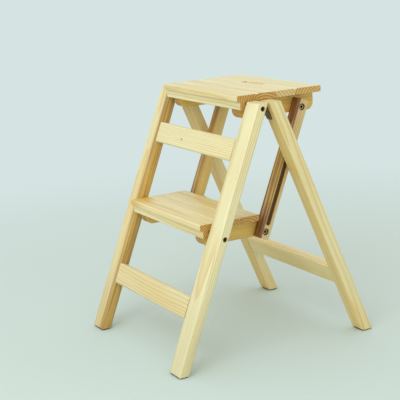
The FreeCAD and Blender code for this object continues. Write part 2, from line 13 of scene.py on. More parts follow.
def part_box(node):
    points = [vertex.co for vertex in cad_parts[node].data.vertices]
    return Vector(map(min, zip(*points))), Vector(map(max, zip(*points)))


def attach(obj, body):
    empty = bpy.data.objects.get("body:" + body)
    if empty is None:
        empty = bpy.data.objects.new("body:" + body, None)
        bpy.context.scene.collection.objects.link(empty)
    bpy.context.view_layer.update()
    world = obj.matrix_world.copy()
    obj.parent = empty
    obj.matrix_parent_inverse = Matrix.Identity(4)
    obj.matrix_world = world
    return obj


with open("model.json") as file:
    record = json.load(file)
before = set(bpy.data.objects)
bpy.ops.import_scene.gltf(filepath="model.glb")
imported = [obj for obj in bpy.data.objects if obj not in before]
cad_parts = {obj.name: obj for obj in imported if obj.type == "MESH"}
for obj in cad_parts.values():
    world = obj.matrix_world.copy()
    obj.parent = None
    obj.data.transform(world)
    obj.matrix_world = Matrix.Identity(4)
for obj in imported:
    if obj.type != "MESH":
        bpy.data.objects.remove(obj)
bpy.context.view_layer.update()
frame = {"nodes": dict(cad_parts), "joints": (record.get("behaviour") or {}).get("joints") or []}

bl_info = {
    "name": "Folding step stool chair",
    "version": (1, 0, 0),
    "blender": (4, 5, 0),
    "location": "3D View > Sidebar > Stool",
    "description": "Finishes and small fasteners of a folding step stool chair",
    "category": "Object",
}

ANCHORS = {joint["name"]: Vector(joint["pos_m"]) for joint in frame["joints"]}

UP = Vector((0.0, 0.0, 1.0))
DOWN = Vector((0.0, 0.0, -1.0))

# lean of the front stiles and of the rear legs from upright
STILE_LEAN = math.radians(22.3)
LEG_LEAN = math.radians(22.0)

# turns that bring a board's grain upright and its section square
STILE_TURN = (STILE_LEAN, 0.0, 0.0)
LEG_TURN = (-LEG_LEAN, 0.0, 0.0)
SLAT_TURN = (0.0, -math.pi / 2, 0.0)
FRONT_RAIL_TURN = (STILE_LEAN, -math.pi / 2, 0.0)
REAR_RAIL_TURN = (-LEG_LEAN, -math.pi / 2, 0.0)
CLEAT_TURN = (math.pi / 2, 0.0, 0.0)

# the two sides of a board's section and its grain, once the board is turned upright
SIDE_X, SIDE_Y, GRAIN = range(3)

# a board: the turn of its grain, where the pith lies from its middle, how the pith leans in degrees,
# its ring width against the usual one, its warmth, how far its cut ends darken, its heartwood, its knot
Board = namedtuple("Board", "turn pith lean rings warmth ends heart knot", defaults=(None, None))

# heartwood: the side it is measured along, where it is full, where it ends, how far its border
# wanders, how brown it is (which also sets the painted shade at its ends) and how much of it tints the rest
# of the board
Heart = namedtuple("Heart", "axis full gone wander brown rest", defaults=(0.0,))

# a pin knot: its place across and along the board and its radius
Knot = namedtuple("Knot", "across along radius")

# a board that is warm heartwood all through: the zone ends beyond its sides
WARM_THROUGH = Heart(SIDE_X, full=0.10, gone=0.20, wander=0.0, brown=0.0)

FRONT_BOARDS = {
    "front_stile_left": Board(
        STILE_TURN,
        pith=(-0.006, 0.080),
        lean=(0.3, 0.5),
        rings=1.1,
        warmth=0.35,
        ends=0.25,
        heart=Heart(SIDE_X, full=0.016, gone=0.004, wander=0.008, brown=0.32),
    ),
    "front_stile_right": Board(
        STILE_TURN,
        pith=(0.004, 0.078),
        lean=(-0.4, 0.5),
        rings=1.25,
        warmth=0.0,
        ends=0.25,
    ),
    "front_rail_upper": Board(
        FRONT_RAIL_TURN,
        pith=(0.160, 0.020),
        lean=(0.1, -0.2),
        rings=1.2,
        warmth=0.0,
        ends=0.0,
        knot=Knot(across=0.004, along=-0.046, radius=0.0015),
    ),
    "front_rail_lower": Board(
        FRONT_RAIL_TURN,
        pith=(-0.050, 0.060),
        lean=(-0.5, 0.6),
        rings=1.1,
        warmth=0.35,
        ends=0.0,
    ),
}
SEAT_BOARDS = {
    "seat_slat_front": Board(
        SLAT_TURN,
        pith=(0.012, 0.036),
        lean=(0.5, 0.3),
        rings=1.5,
        warmth=0.3,
        ends=1.0,
        heart=Heart(SIDE_Y, full=-0.0300, gone=-0.0180, wander=0.022, brown=0.30),
    ),
    "seat_slat_second": Board(
        SLAT_TURN,
        pith=(0.045, -0.004),
        lean=(-0.5, 0.3),
        rings=1.6,
        warmth=0.05,
        ends=1.0,
    ),
    "seat_slat_third": Board(
        SLAT_TURN,
        pith=(0.075, -0.090),
        lean=(0.3, 0.6),
        rings=1.75,
        warmth=0.1,
        ends=0.6,
    ),
    "seat_slat_rear": Board(
        SLAT_TURN,
        pith=(0.058, 0.062),
        lean=(0.5, -0.4),
        rings=1.6,
        warmth=0.15,
        ends=0.9,
    ),
    "seat_lip": Board(
        SLAT_TURN,
        pith=(0.030, 0.060),
        lean=(0.4, 0.4),
        rings=1.0,
        warmth=0.15,
        ends=1.0,
    ),
    "seat_cleat_left": Board(
        CLEAT_TURN,
        pith=(0.030, 0.045),
        lean=(0.6, -0.5),
        rings=1.2,
        warmth=0.7,
        ends=1.0,
        heart=WARM_THROUGH,
    ),
    "seat_cleat_right": Board(
        CLEAT_TURN,
        pith=(-0.034, 0.040),
        lean=(-0.6, 0.5),
        rings=1.3,
        warmth=0.9,
        ends=1.0,
        heart=WARM_THROUGH,
    ),
}
STEP_BOARDS = {
    "step_slat_front": Board(
        SLAT_TURN,
        pith=(0.060, 0.020),
        lean=(-0.7, 0.5),
        rings=1.3,
        warmth=0.3,
        ends=1.0,
        heart=Heart(GRAIN, full=-0.142, gone=-0.070, wander=0.04, brown=0.0),
    ),
    "step_slat_middle": Board(
        SLAT_TURN,
        pith=(-0.050, 0.070),
        lean=(0.4, -0.6),
        rings=1.4,
        warmth=0.15,
        ends=1.0,
    ),
    "step_slat_rear": Board(
        SLAT_TURN,
        pith=(0.040, -0.012),
        lean=(0.7, 0.3),
        rings=1.5,
        warmth=0.45,
        ends=1.0,
    ),
    "step_lip": Board(
        SLAT_TURN,
        pith=(0.024, -0.050),
        lean=(-0.4, 0.5),
        rings=1.0,
        warmth=0.2,
        ends=1.0,
    ),
    "step_cleat_left": Board(
        CLEAT_TURN,
        pith=(0.040, -0.036),
        lean=(-0.5, 0.6),
        rings=1.1,
        warmth=0.9,
        ends=1.0,
        heart=WARM_THROUGH._replace(brown=0.02),
    ),
    "step_cleat_right": Board(
        CLEAT_TURN,
        pith=(-0.040, 0.030),
        lean=(0.5, 0.4),
        rings=1.2,
        warmth=0.6,
        ends=1.0,
        heart=WARM_THROUGH,
    ),
}
LINK_BOARDS = {
    "link_left": Board(
        STILE_TURN,
        pith=(0.030, 0.036),
        lean=(0.5, -0.6),
        rings=0.8,
        warmth=0.9,
        ends=0.6,
        heart=Heart(SIDE_Y, full=-0.0125, gone=-0.0082, wander=0.004, brown=0.50, rest=0.20),
    ),
    "link_right": Board(
        STILE_TURN,
        pith=(0.050, -0.030),
        lean=(-0.6, 0.5),
        rings=0.8,
        warmth=0.6,
        ends=0.4,
        heart=Heart(SIDE_Y, full=-0.0082, gone=-0.0046, wander=0.007, brown=0.60, rest=0.26),
    ),
}
REAR_BOARDS = {
    "rear_leg_left": Board(
        LEG_TURN,
        pith=(0.040, -0.040),
        lean=(0.5, 0.8),
        rings=1.2,
        warmth=0.35,
        ends=0.3,
        heart=Heart(SIDE_Y, full=-0.0145, gone=-0.008, wander=0.005, brown=0.0),
    ),
    "rear_leg_right": Board(
        LEG_TURN,
        pith=(0.070, -0.020),
        lean=(-0.4, 0.7),
        rings=1.3,
        warmth=0.3,
        ends=0.3,
        heart=Heart(SIDE_Y, full=-0.0165, gone=-0.008, wander=0.005, brown=0.0),
    ),
    "rear_crossbar": Board(
        REAR_RAIL_TURN,
        pith=(0.044, 0.050),
        lean=(0.5, -0.5),
        rings=1.1,
        warmth=0.5,
        ends=0.3,
    ),
}

# how often a pattern in the wood repeats in a metre: twice across the grain, then along it
DRIFT_REPEATS = (9.0, 9.0, 2.4)
TREMOR_REPEATS = (60.0, 60.0, 9.0)
YEAR_REPEATS = (120.0, 120.0, 3.0)
FIBRE_REPEATS = (1100.0, 1100.0, 16.0)
RESIN_REPEATS = (420.0, 420.0, 30.0)
PATCH_REPEATS = (14.0, 14.0, 4.0)
BAND_REPEATS = (85.0, 85.0, 2.6)
WEAR_REPEATS = (90.0, 90.0, 30.0)
STREAK_REPEATS = (170.0, 170.0, 4.0)

# how often the patterns of the other materials repeat in a metre
RUBBER_REPEATS = (1800.0, 1800.0, 1800.0)
DUST_REPEATS = (180.0, 180.0, 500.0)
PIN_FIBRE_REPEATS = (60.0, 1200.0, 1200.0)
PIN_FLECK_REPEATS = (320.0, 900.0, 900.0)
FLOOR_REPEATS = (1.3, 1.3, 1.3)

# how high the small relief of each material stands
PLATE_RELIEF = 0.0001
RUBBER_RELIEF = 0.00015
PIN_RELIEF = 0.0001

# the part of each pattern that shows: where it starts and where it is full
YEAR_RANGE = (0.3, 0.7)
RESIN_RANGE = (0.70, 0.80)
PATCH_RANGE = (0.30, 0.75)
WEAR_RANGE = (0.35, 0.70)
FIBRE_RANGE = (0.25, 0.75)
BAND_RANGE = (0.25, 0.75)
BORDER_RANGE = (0.2, 0.8)
STREAK_RANGE = (0.38, 0.62)
CUT_RANGE = (0.50, 0.80)

# how strongly the patterns show: a weak year, the shades of fibres and bands, heartwood, and the painted
# shade in a link's groove
WEAK_YEAR = 0.45
FIBRE_SHADES = (0.90, 1.05)
BAND_SHADES = (-0.09, 0.06)
HEART_SHARE = 0.96
HEART_RINGS = 0.15
GROOVE_SHADE_SHARE = 0.85

# how much duller the patches, the cut ends and the rubbed edges are
PATCH_DULL, CUT_DULL, RUBBED_DULL = 0.12, 0.16, 0.14

# how far the rings and fibres stand up and the resin streaks lie back
RING_HEIGHT, FIBRE_HEIGHT, RESIN_HEIGHT = 0.7, 0.5, -0.6

# shifts between the patterns, so that no two boards are cut from the same spot
DRIFT_SHIFT = 0.37
PATCH_SHIFT = (1.7, 0.4)
BAND_SHIFT = 5.3

# the spacing of the ring pattern before it is scaled
RING_SPACING = 0.314

# one year's growth: how far through the year, and how dark the wood is there
GROWTH = ((0.42, 0.0), (0.80, 0.62), (0.93, 1.0))
GROWTH_ENDS = 0.10

# a knot against its own radius: its length, how far the rings bend round it and by how much,
# and where its dark middle ends
KNOT_LENGTH = 2.6
KNOT_REACH = 4.5
KNOT_BULGE = 1.5
KNOT_EDGE = (1.25, 0.35)

# how far from a board's middle painted shade starts to darken its brown heartwood, and where it is darkest:
# the shade of the seat and the step on the links' ends
END_SHADE_RANGE = (0.055, 0.125)

# a link's groove, painted with shade: where the painted shade is darkest and where it fades out under the
# outer face, and its space to the edges
GROOVE_SHADE_DARK = 0.0030
GROOVE_SHADE_LIP = 0.0006
GROOVE_CLEAR = (0.0040, 0.0020)

# a bolt's socket, painted with shade: where the painted shade is darkest under the head's face, and where it
# starts
SOCKET_SHADE_DARK = 0.0008
SOCKET_SHADE_RIM = 0.0002

# the outline of a domed screw head: shares of its radius and of its height
DOME = ((0.0, 1.0), (0.55, 0.86), (0.88, 0.40), (1.0, 0.0))

# the cross in a screw head: half its length and width as shares of the head's radius, and its
# depth as a share of the head's thickness
CROSS_ARM = 0.60
CROSS_SLOT = 0.14
CROSS_DEPTH = 0.8

# a screw's turned outline: its sides all round, and how near two corners are one
SCREW_SIDES = 24
WELD = 1e-6

# how far round the first screw is driven, in radians, and how much further each next one is
HINGE_FIRST, HINGE_NEXT = 0.2, 0.83
SLAT_FIRST, SLAT_NEXT = 0.1, 0.71

# the large soft lamp: where it stands, what it is aimed at and its cool colour
WINDOW_SPOT = Vector((1.3, -1.8, 2.1))
WINDOW_AIM = Vector((0.0, 0.0, 0.25))
WINDOW_COLOUR = (0.90, 1.0, 0.99)

# the soft light all round is a little warm
ROOM_COLOUR = (1.0, 0.97, 0.90, 1.0)

# the camera: where it stands, how far it sees, and its heading, pitch, roll and level in degrees
CAMERA_SPOT = (1.9347, -1.1110, 0.7825)
CAMERA_REACH = 200.0
CAMERA_TURNS = ((61.31, "Z"), (-12.84, "X"), (3.42, "Y"), (90.0, "X"))


def tone(red, green, blue):
    """The linear colour of a shade that is given from 0 to 255."""

    def linear(value):
        share = value / 255
        return share / 12.92 if share <= 0.04045 else ((share + 0.055) / 1.055) ** 2.4

    return (linear(red), linear(green), linear(blue))


def colour_prop(name, description, shade):
    return FloatVectorProperty(
        name=name, description=description, subtype="COLOR", size=3, min=0.0, max=1.0, default=tone(*shade)
    )


def length_prop(name, description, default):
    return FloatProperty(
        name=name, description=description, unit="LENGTH", precision=4, min=0.0, default=default
    )


def share_prop(name, description, default):
    return FloatProperty(
        name=name, description=description, subtype="FACTOR", min=0.0, max=1.0, default=default
    )


def number_prop(name, description, default):
    return FloatProperty(name=name, description=description, min=0.0, default=default)


class PineFinish(bpy.types.PropertyGroup):
    """Clear-lacquered pine."""

    early_wood: colour_prop("Early wood", "The wide pale part of a growth ring", (241, 234, 190))
    late_wood: colour_prop("Late wood", "The narrow dark part of a growth ring", (216, 178, 96))
    warm_wood: colour_prop("Warm wood", "The warm tint of boards cut near the heart", (228, 187, 90))
    end_early: colour_prop("End grain", "Early wood where the lacquer soaks in", (220, 176, 91))
    end_late: colour_prop("End grain rings", "Late wood where the lacquer soaks in", (146, 86, 30))
    heartwood: colour_prop("Brown heart", "The dark heart that the links are cut from", (116, 54, 14))
    # painted shade: this colour darkens the inside of a link's groove
    groove: colour_prop("Groove", "The walls of a groove, browned by the cutter", (104, 52, 8))
    knot_heart: colour_prop("Knot", "The middle of a pin knot", (96, 58, 26))
    worn_edge: colour_prop("Rubbed edge", "Wood along an edge that hands and feet rub", (247, 234, 196))
    ring_width: length_prop("Ring width", "Usual distance between growth rings", 0.0036)
    ring_drift: length_prop("Ring drift", "How far the rings wander along a board", 0.0070)
    ring_tremor: length_prop("Ring tremor", "How far the rings waver from fibre to fibre", 0.0011)
    ring_share: share_prop("Ring strength", "How strongly the late wood shows", 0.90)
    link_share: share_prop("Link rings", "How brown the late wood of the links is", 0.6)
    resin_shade: share_prop("Resin", "How much darker a short resin streak is", 0.13)
    edge_width: length_prop("Edge width", "How far a rubbed edge reaches in", 0.0050)
    edge_share: share_prop("Edge wear", "How much of an edge is rubbed", 0.55)
    # painted shade: the front frame's wood is darkened towards the floor, up to this height
    painted_shade_height: length_prop("Painted shade height", "How far up the stiles the floor has dulled them", 0.24)
    painted_shade_floor_share: share_prop("Painted shade at floor", "How much of its light the wood keeps at the floor", 0.86)
    roughness: share_prop("Roughness", "Roughness of the satin lacquer", 0.36)
    grain_relief: length_prop("Relief", "Height of the grain that is felt through the lacquer", 0.0002)
    lacquer: share_prop("Lacquer", "Weight of the clear coat", 0.22)
    lacquer_roughness: share_prop("Lacquer roughness", "Roughness of the clear coat", 0.24)


class MetalFinish(bpy.types.PropertyGroup):
    """Hinges, bolts and washers."""

    bronze: colour_prop("Antique bronze", "The hinges' dark plating", (110, 94, 64))
    bronze_rubbed: colour_prop("Rubbed bronze", "Plating where it is rubbed bright", (176, 146, 98))
    oxide: colour_prop("Brown oxide", "The socket bolts in the stiles", (94, 74, 38))
    oxide_rubbed: colour_prop("Rubbed oxide", "Bolt edges where the oxide is thin", (112, 98, 76))
    # painted shade: this colour darkens the inside of a bolt's socket
    socket: colour_prop("Socket", "The greasy inside of a bolt's socket", (58, 44, 18))
    nickel: colour_prop("Dull nickel", "The socket bolts of the links", (176, 154, 114))
    zinc: colour_prop("Zinc", "Nuts, washers and sleeves", (184, 184, 180))
    zinc_dull: colour_prop("Dull zinc", "Zinc that has gone cloudy", (126, 126, 122))


class SmallFinish(bpy.types.PropertyGroup):
    """Rubber feet and hardwood guide pins."""

    rubber: colour_prop("Rubber", "The foot pads", (44, 40, 37))
    rubber_dust: colour_prop("Dusty rubber", "Floor dust on the foot pads", (92, 86, 78))
    beech: colour_prop("Hardwood", "The guide pins", (214, 168, 116))
    beech_fleck: colour_prop("Hardwood fleck", "Short rays in the hardwood", (164, 112, 66))


class FastenerSizes(bpy.types.PropertyGroup):
    """Screws of the hinges and under the slats."""

    hinge_head: length_prop("Hinge screw head", "Radius of a hinge screw's head", 0.0027)
    hinge_dome: length_prop("Hinge screw dome", "How far the head stands over the leaf", 0.0005)
    hinge_sink: length_prop("Hinge screw sink", "Depth of the head's cone", 0.0011)
    hinge_shank: length_prop("Hinge screw shank", "Radius of the shank in the leaf", 0.0015)
    hinge_reach: length_prop("Hinge screw reach", "Depth that the shank goes in", 0.0030)
    low_screw: length_prop("Low screw", "Distance of the low screw from the hinge pin", 0.028)
    high_screw: length_prop("High screw", "Distance of the high screw from the hinge pin", 0.017)
    pin_height: length_prop("Pin height", "How far the pin's axis stands over the leaf's face", 0.0015)
    slat_head: length_prop("Slat screw head", "Radius of a slat screw's head", 0.0038)
    slat_dome: length_prop("Slat screw dome", "How far its head stands under the cleat", 0.0014)
    slat_sink: length_prop("Slat screw sink", "Depth of its head's cone in the cleat", 0.00028)
    slat_shank: length_prop("Slat screw shank", "Radius of its shank", 0.0019)
    slat_reach: length_prop("Slat screw reach", "Depth that its shank goes in", 0.0038)
    first_slat: length_prop("First slat screw", "Distance of the first slat screw behind the pivot", 0.012)


class StageLook(bpy.types.PropertyGroup):
    """Floor, light and camera."""

    floor: colour_prop("Floor", "The pale floor", (198, 214, 213))
    backdrop: colour_prop("Backdrop", "The pale background", (213, 228, 226))
    floor_size: length_prop("Floor size", "Side of the square floor", 40.0)
    fade_start: length_prop("Fade start", "Where the floor starts to fade into the background", 0.55)
    fade_end: length_prop("Fade end", "Where the floor has faded into the background", 1.90)
    room_light: number_prop("Room light", "Strength of the soft light all round", 0.95)
    window_light: number_prop("Window light", "Power of the large soft lamp", 25.0)
    window_size: length_prop("Window size", "Side of the large soft lamp", 1.8)
    lens: number_prop("Lens", "Focal length in millimetres", 101.76)
    sensor: number_prop("Sensor", "Sensor width in millimetres", 36.0)


def add_node(tree, kind, **settings):
    """A node of a material, with its own settings."""
    node = tree.nodes.new(kind)
    for key, value in settings.items():
        setattr(node, key, value)
    return node


def feed(tree, socket, source):
    """Links an output into a socket, or sets the socket to a value."""
    if isinstance(source, bpy.types.NodeSocket):
        tree.links.new(source, socket)
    elif isinstance(source, tuple) and len(source) == 3 and socket.type == "RGBA":
        socket.default_value = (*source, 1.0)
    else:
        socket.default_value = source


def value_of(tree, operation, first, second=0.0, clamp=False):
    """A number worked out from one or two others."""
    node = add_node(tree, "ShaderNodeMath", operation=operation, use_clamp=clamp)
    feed(tree, node.inputs[0], first)
    feed(tree, node.inputs[1], second)
    return node.outputs["Value"]


def arrow_of(tree, operation, first, second=(0.0, 0.0, 0.0)):
    """A vector, or its size, worked out from one or two others."""
    node = add_node(tree, "ShaderNodeVectorMath", operation=operation)
    feed(tree, node.inputs[0], first)
    feed(tree, node.inputs[1], second)
    return node.outputs["Value" if operation in ("DOT_PRODUCT", "LENGTH") else "Vector"]


def axes_of(tree, source):
    """The three parts of a vector."""
    node = add_node(tree, "ShaderNodeSeparateXYZ")
    feed(tree, node.inputs[0], source)
    return node.outputs


def away(tree, part):
    """How far a point lies from the middle, on either side."""
    return value_of(tree, "ABSOLUTE", part)


def piled(tree, start, parts):
    """A start value with a share of each part added."""
    total = start
    for part, share in parts:
        total = value_of(tree, "ADD", total, value_of(tree, "MULTIPLY", part, share))
    return total


def placed(tree, source, location=(0.0, 0.0, 0.0), rotation=(0.0, 0.0, 0.0), scale=(1.0, 1.0, 1.0)):
    """Coordinates moved, turned and stretched."""
    node = add_node(tree, "ShaderNodeMapping", vector_type="POINT")
    feed(tree, node.inputs["Vector"], source)
    node.inputs["Location"].default_value = location
    node.inputs["Rotation"].default_value = rotation
    node.inputs["Scale"].default_value = scale
    return node.outputs["Vector"]


def cloud(tree, source, repeats, detail=2.0, roughness=0.5, shift=(0.0, 0.0, 0.0), colour=False):
    """Soft noise, as a value or as a colour."""
    node = add_node(tree, "ShaderNodeTexNoise", noise_dimensions="3D")
    feed(tree, node.inputs["Vector"], placed(tree, source, location=shift, scale=repeats))
    node.inputs["Scale"].default_value = 1.0
    node.inputs["Detail"].default_value = detail
    node.inputs["Roughness"].default_value = roughness
    return node.outputs["Color" if colour else "Fac"]


def span(tree, value, low, high, start=0.0, end=1.0, smooth=True):
    """A value brought from one range to another."""
    kind = "SMOOTHSTEP" if smooth else "LINEAR"
    node = add_node(tree, "ShaderNodeMapRange", interpolation_type=kind)
    feed(tree, node.inputs["Value"], value)
    for key, limit in (("From Min", low), ("From Max", high), ("To Min", start), ("To Max", end)):
        node.inputs[key].default_value = limit
    return node.outputs["Result"]


def blended(tree, share, first, second, mode="MIX"):
    """One colour laid over another."""
    node = add_node(tree, "ShaderNodeMix", data_type="RGBA", blend_type=mode)
    feed(tree, node.inputs[0], share)
    feed(tree, node.inputs[6], first)
    feed(tree, node.inputs[7], second)
    return node.outputs[2]


def relief(tree, height, strength, distance):
    """A surface that rises and falls with a height."""
    node = add_node(tree, "ShaderNodeBump")
    node.inputs["Strength"].default_value = strength
    node.inputs["Distance"].default_value = distance
    feed(tree, node.inputs["Height"], height)
    return node.outputs["Normal"]


def new_finish(name):
    """An empty material with its shader, its node tree and the object's own coordinates."""
    finish = bpy.data.materials.new(name)
    finish.use_nodes = True
    tree = finish.node_tree
    tree.nodes.clear()
    shader = add_node(tree, "ShaderNodeBsdfPrincipled")
    output = add_node(tree, "ShaderNodeOutputMaterial")
    tree.links.new(shader.outputs["BSDF"], output.inputs["Surface"])
    place = add_node(tree, "ShaderNodeTexCoord")
    return finish, tree, shader, place


def surfaced(tree, shader, colour, roughness, normal):
    """Gives a shader its colour, its roughness and its relief."""
    feed(tree, shader.inputs["Base Color"], colour)
    feed(tree, shader.inputs["Roughness"], roughness)
    feed(tree, shader.inputs["Normal"], normal)


def board_middle(name, turn):
    """The middle and half sizes of a board, along its own section and grain."""
    square = Euler(turn, "XYZ").to_matrix()
    points = [square @ vertex.co for vertex in frame["nodes"][name].data.vertices]
    low = Vector(min(point[axis] for point in points) for axis in range(3))
    high = Vector(max(point[axis] for point in points) for axis in range(3))
    return (low + high) / 2, (high - low) / 2


def edge_nearness(tree, sides, half, width):
    """How near a point lies to a long edge of its board, from 0 to 1."""
    near = [span(tree, away(tree, sides[axis]), half[axis] - width, half[axis]) for axis in (SIDE_X, SIDE_Y)]
    return value_of(tree, "MULTIPLY", *near)


def wander(tree, inside, repeats, roughness, reach, shift=(0.0, 0.0, 0.0)):
    """A push across the grain that changes from place to place."""
    noise = cloud(tree, inside, repeats, 2.0, roughness, shift, True)
    centred = arrow_of(tree, "SUBTRACT", noise, (0.5, 0.5, 0.5))
    return arrow_of(tree, "MULTIPLY", centred, (reach, reach, 0.0))


def round_knot(tree, inside, knot):
    """How a knot pushes the rings aside, and where it is dark."""
    length = knot.radius * KNOT_LENGTH
    spot = placed(
        tree,
        inside,
        location=(-knot.across / knot.radius, 0.0, -knot.along / length),
        scale=(1 / knot.radius, 0.0, 1 / length),
    )
    reach = arrow_of(tree, "LENGTH", spot)
    bulge = value_of(tree, "MULTIPLY", span(tree, reach, KNOT_REACH, 0.0), knot.radius * KNOT_BULGE)
    push = add_node(tree, "ShaderNodeCombineXYZ")
    feed(tree, push.inputs[SIDE_Y], bulge)
    return push.outputs[0], span(tree, reach, *KNOT_EDGE)


def growth_rings(tree, rings_at, board, look):
    """How dark the wood is through each year's growth, round the board's pith."""
    lean = (math.radians(board.lean[0]), math.radians(board.lean[1]), 0.0)
    from_pith = placed(tree, rings_at, location=(-board.pith[0], -board.pith[1], 0.0), rotation=lean)
    rings = add_node(tree, "ShaderNodeTexWave", wave_type="RINGS", rings_direction="Z", wave_profile="SAW")
    feed(tree, rings.inputs["Vector"], from_pith)
    rings.inputs["Scale"].default_value = RING_SPACING / (look.ring_width * board.rings)
    rings.inputs["Distortion"].default_value = 0.0
    growth = add_node(tree, "ShaderNodeValToRGB")
    ramp = growth.color_ramp
    ramp.interpolation = "EASE"
    for position, level in GROWTH:
        ramp.elements.new(position).color = (level, level, level, 1.0)
    for stop in (ramp.elements[0], ramp.elements[-1]):
        stop.color = (GROWTH_ENDS, GROWTH_ENDS, GROWTH_ENDS, 1.0)
    feed(tree, growth.inputs["Fac"], rings.outputs["Fac"])
    return growth.outputs["Color"]


def heart_zone(tree, inside, sides, ring, heart, look):
    """Where a board's heartwood lies, and its streaky tone, with painted shade towards both ends."""
    streaks = cloud(tree, inside, STREAK_REPEATS, 3.0, 0.6)
    border = span(tree, streaks, *BORDER_RANGE, -heart.wander / 2, heart.wander / 2, False)
    border = value_of(tree, "ADD", sides[heart.axis], border)
    share = span(tree, border, heart.full, heart.gone, HEART_SHARE, heart.rest)
    pale_streak = 0.45 * heart.brown - 0.10
    dark_streak = 1.35 * heart.brown + 0.10
    depth = span(tree, streaks, *STREAK_RANGE, pale_streak, dark_streak)
    # painted shade: the heartwood darkens towards both ends, most on the links, which the seat and the step
    # shade
    painted_end_shade = span(tree, away(tree, sides[GRAIN]), *END_SHADE_RANGE, 0.0, 3.3 * heart.brown**3)
    depth = value_of(tree, "ADD", piled(tree, depth, ((ring, HEART_RINGS),)), painted_end_shade, clamp=True)
    return share, blended(tree, depth, look.warm_wood[:], look.heartwood[:])


def groove_shade_zone(tree, sides, half):
    """Where painted shade darkens a link's groove: under the link's outer face and clear of its edges."""
    deep = span(tree, away(tree, sides[SIDE_X]), half.x - GROOVE_SHADE_DARK, half.x - GROOVE_SHADE_LIP, GROOVE_SHADE_SHARE, 0.0)
    outside, inside = (half.y - clear for clear in GROOVE_CLEAR)
    clear = span(tree, away(tree, sides[SIDE_Y]), outside, inside, 1.0, 0.0)
    return value_of(tree, "MULTIPLY", deep, clear)


def pine(name, board, look):
    """Solid pine: rings round a pith beside the board, fine fibres along it and dark end grain."""
    finish, tree, shader, place = new_finish("pine_" + name)
    middle, half = board_middle(name, board.turn)
    inside = placed(tree, place.outputs["Object"], location=-middle, rotation=board.turn)
    sides = axes_of(tree, inside)

    # the rings wander slowly along the board and a little across it
    cut_from = (*board.pith, DRIFT_SHIFT * board.warmth)
    drift = wander(tree, inside, DRIFT_REPEATS, 0.5, look.ring_drift * 2, cut_from)
    tremor = wander(tree, inside, TREMOR_REPEATS, 0.6, look.ring_tremor)
    rings_at = arrow_of(tree, "ADD", arrow_of(tree, "ADD", inside, drift), tremor)
    if board.knot is not None:
        push, knot_dark = round_knot(tree, inside, board.knot)
        rings_at = arrow_of(tree, "ADD", rings_at, push)

    # the rings are stronger in some years than in others
    growth = growth_rings(tree, rings_at, board, look)
    years = cloud(tree, rings_at, YEAR_REPEATS, 1.0)
    ring = value_of(tree, "MULTIPLY", growth, span(tree, years, *YEAR_RANGE, WEAK_YEAR, 1.0))

    # fine fibres and short resin streaks run along the grain, and broad patches differ in tone
    fibre = cloud(tree, inside, FIBRE_REPEATS, 3.0, 0.6)
    resin = span(tree, cloud(tree, inside, RESIN_REPEATS, 1.0, 0.4), *RESIN_RANGE)
    patch = cloud(tree, inside, PATCH_REPEATS, shift=(*PATCH_SHIFT, board.warmth))
    band = cloud(tree, rings_at, BAND_REPEATS, shift=(0.0, BAND_SHIFT, board.rings))

    # the links are cut nearer the heart, so their rings are browner
    lines = look.late_wood[:]
    if name in LINK_BOARDS:
        lines = blended(tree, look.link_share, lines, look.heartwood[:])
    shown = value_of(tree, "MULTIPLY", ring, look.ring_share)
    face = blended(tree, shown, look.early_wood[:], lines)
    warm = span(tree, patch, *PATCH_RANGE, 0.45 * board.warmth, 0.15 + 0.75 * board.warmth)
    face = blended(tree, warm, face, look.warm_wood[:])
    end = blended(tree, growth, look.end_early[:], look.end_late[:])
    end = blended(tree, 0.5 * board.warmth, end, look.end_late[:])

    # rubbed edges are paler and duller, with breaks along them
    edge = edge_nearness(tree, sides, half, look.edge_width)
    broken = span(tree, cloud(tree, inside, WEAR_REPEATS, 3.0), *WEAR_RANGE)
    rubbed = value_of(tree, "MULTIPLY", value_of(tree, "MULTIPLY", edge, broken), look.edge_share)
    face = blended(tree, rubbed, face, look.worn_edge[:])

    if board.heart is not None:
        share, heart_tone = heart_zone(tree, inside, sides, ring, board.heart, look)
        face = blended(tree, share, face, heart_tone)
        end = blended(tree, value_of(tree, "MULTIPLY", share, board.heart.brown), end, heart_tone)
    # painted shade darkens the inside of a link's groove
    if name in LINK_BOARDS:
        face = blended(tree, groove_shade_zone(tree, sides, half), face, look.groove[:])

    # end grain shows where the surface faces along the board
    grain = Euler(board.turn, "XYZ").to_matrix().inverted() @ UP
    facing = arrow_of(tree, "DOT_PRODUCT", place.outputs["Normal"], grain[:])
    cut = span(tree, away(tree, facing), *CUT_RANGE, 0.0, board.ends)
    wood = blended(tree, cut, face, end)

    # fibres, resin and bands shade the wood, and painted shade darkens the front frame towards the floor
    shade = span(tree, fibre, *FIBRE_RANGE, *FIBRE_SHADES, False)
    shade = value_of(tree, "SUBTRACT", shade, value_of(tree, "MULTIPLY", resin, look.resin_shade))
    shade = value_of(tree, "ADD", shade, span(tree, band, *BAND_RANGE, *BAND_SHADES, False))
    if name in FRONT_BOARDS:
        height = axes_of(tree, place.outputs["Object"])[2]
        painted_floor_shade = span(tree, height, 0.0, look.painted_shade_height, look.painted_shade_floor_share, 1.0)
        shade = value_of(tree, "MULTIPLY", shade, painted_floor_shade)
    tint = add_node(tree, "ShaderNodeCombineColor")
    for channel in tint.inputs:
        feed(tree, channel, shade)
    wood = blended(tree, 1.0, wood, tint.outputs[0], "MULTIPLY")
    if board.knot is not None:
        wood = blended(tree, knot_dark, wood, look.knot_heart[:])

    dull = piled(tree, look.roughness, ((patch, PATCH_DULL), (cut, CUT_DULL), (rubbed, RUBBED_DULL)))
    felt = piled(tree, 0.0, ((ring, RING_HEIGHT), (fibre, FIBRE_HEIGHT), (resin, RESIN_HEIGHT)))
    surfaced(tree, shader, wood, dull, relief(tree, felt, 0.35, look.grain_relief))
    shader.inputs["Coat Weight"].default_value = look.lacquer
    shader.inputs["Coat Roughness"].default_value = look.lacquer_roughness
    return finish


